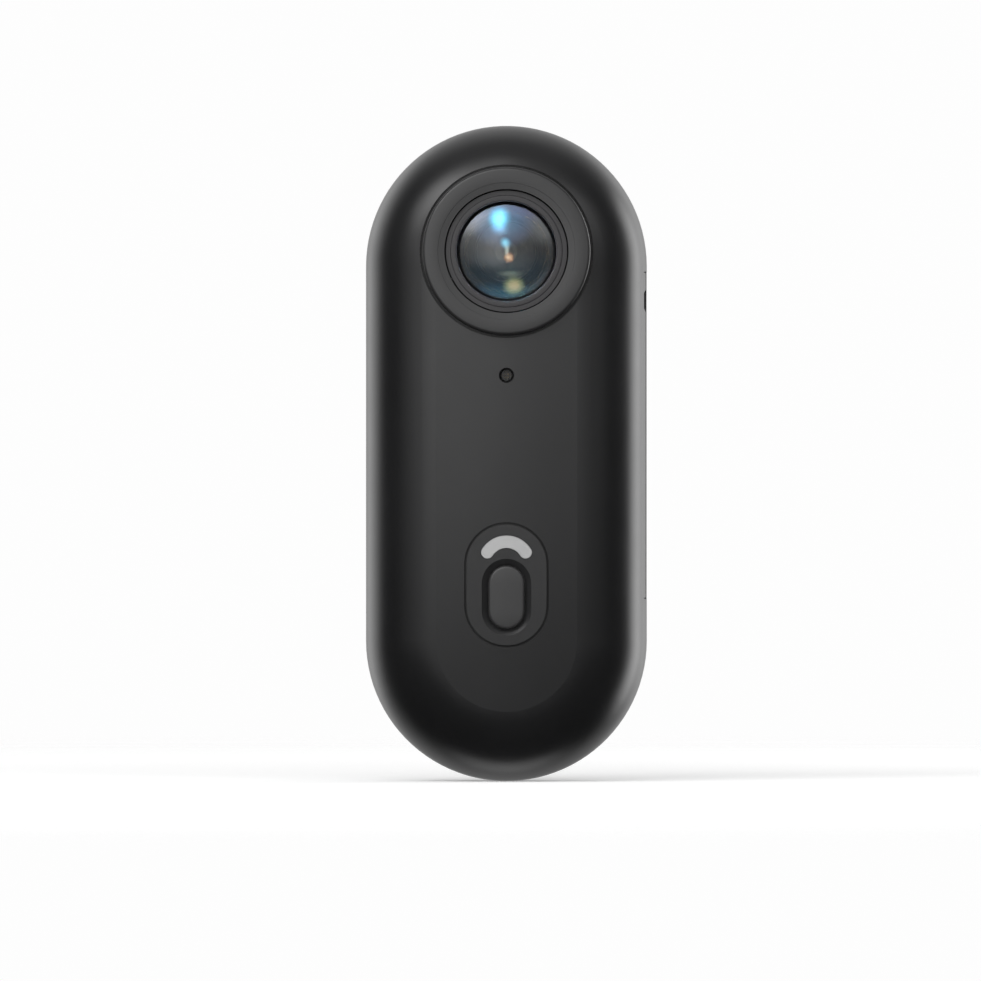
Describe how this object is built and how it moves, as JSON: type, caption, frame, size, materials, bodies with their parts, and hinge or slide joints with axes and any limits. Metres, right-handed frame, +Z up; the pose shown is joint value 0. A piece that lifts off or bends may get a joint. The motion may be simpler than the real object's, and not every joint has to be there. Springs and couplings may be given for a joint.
{
  "type": "wearable action camera",
  "caption": "Thumb-sized wearable camera: stadium-shaped body, raised round lens, press button under a light arc, hinged side cover over its ports.",
  "frame": {"origin": "the middle of the flat back face, half way between the two ends of the body and half way between its two sides", "axes": "+Z up the long axis towards the lens end; the lens looks along -Y and the back face is the plane y = 0; +X points to the side that holds the port cover, which is the right-hand side seen from the front"},
  "size_m": [0.03, 0.0169, 0.07],
  "materials": {
    "housing": "satin black moulded plastic with a very fine grain",
    "cover": "satin black moulded plastic with a very fine grain",
    "bezel": "black anodised, satin",
    "lens_metal": "matt black anodised",
    "lens_glass": "polished, with a blue and violet anti-reflection coating",
    "filter_glass": "polished, faint cyan",
    "holder": "plain moulded plastic",
    "panel": "satin dark grey",
    "light": "clear plastic with a pale frosted face",
    "button": "satin dark grey, a shade lighter than the housing",
    "seal": "matt silicone rubber",
    "screw_steel": "dark nickel-plated steel",
    "sheet_steel": "thin bright sheet",
    "board": "glass-fibre board with green solder resist",
    "chip": "moulded package",
    "light_source": "pale package",
    "connector": "ivory connector plastic and ceramic",
    "microphone_metal": "gold-plated lid",
    "film": "amber polyimide film",
    "cell": "aluminium laminate pouch",
    "wire": "insulated wire, one red and one black",
    "foam": "thin foam tape",
    "magnet": "nickel-plated"
  },
  "bodies": {
    "body": {"front_shell": "housing", "back_cover": "housing", "shell_gasket": "seal", "case_screws": "screw_steel", "lens_bezel": "bezel", "bezel_gasket": "seal", "lens_retainer": "lens_metal", "lens_barrel": "lens_metal", "front_glass": "lens_glass", "middle_glass": "lens_glass", "rear_glass": "lens_glass", "aperture_stop": "lens_metal", "lens_spacer": "lens_metal", "lens_holder": "holder", "infrared_filter": "filter_glass", "image_sensor": "chip", "sensor_board": "board", "sensor_screws": "screw_steel", "flex_cable": "film", "flex_sockets": "connector", "main_board": "board", "board_screws": "screw_steel", "processor": "chip", "shield_can": "sheet_steel", "memory_chip": "chip", "antenna": "connector", "microphone": "microphone_metal", "mic_boot": "seal", "mic_mesh": "sheet_steel", "control_panel": "panel", "light_guide": "light", "status_led": "light_source", "tact_switch": "sheet_steel", "usb_shell": "sheet_steel", "usb_tongue": "holder", "card_socket": "sheet_steel", "battery_cell": "cell", "battery_protection": "board", "battery_leads": "wire", "battery_connector": "connector", "battery_pad": "foam", "magnets": "magnet"},
    "shutter": {"shutter_button": "button", "switch_actuator": "holder"},
    "cover": {"port_cover": "cover", "port_cover_seal": "seal"}
  },
  "joints": [
    {"name": "shutter_press", "type": "slide", "parent": "body", "child": "shutter", "axis": [0, 1, 0], "range_m": [0, 0.00035], "stiffness_N_per_m": 1500, "springref_m": -0.0007},
    {"name": "port_cover_hinge", "type": "hinge", "parent": "body", "child": "cover", "pos_m": [0.01408, -0.0064, 0.00195], "axis": [0, 0, 1], "range_deg": [0, 110]}
  ]
}
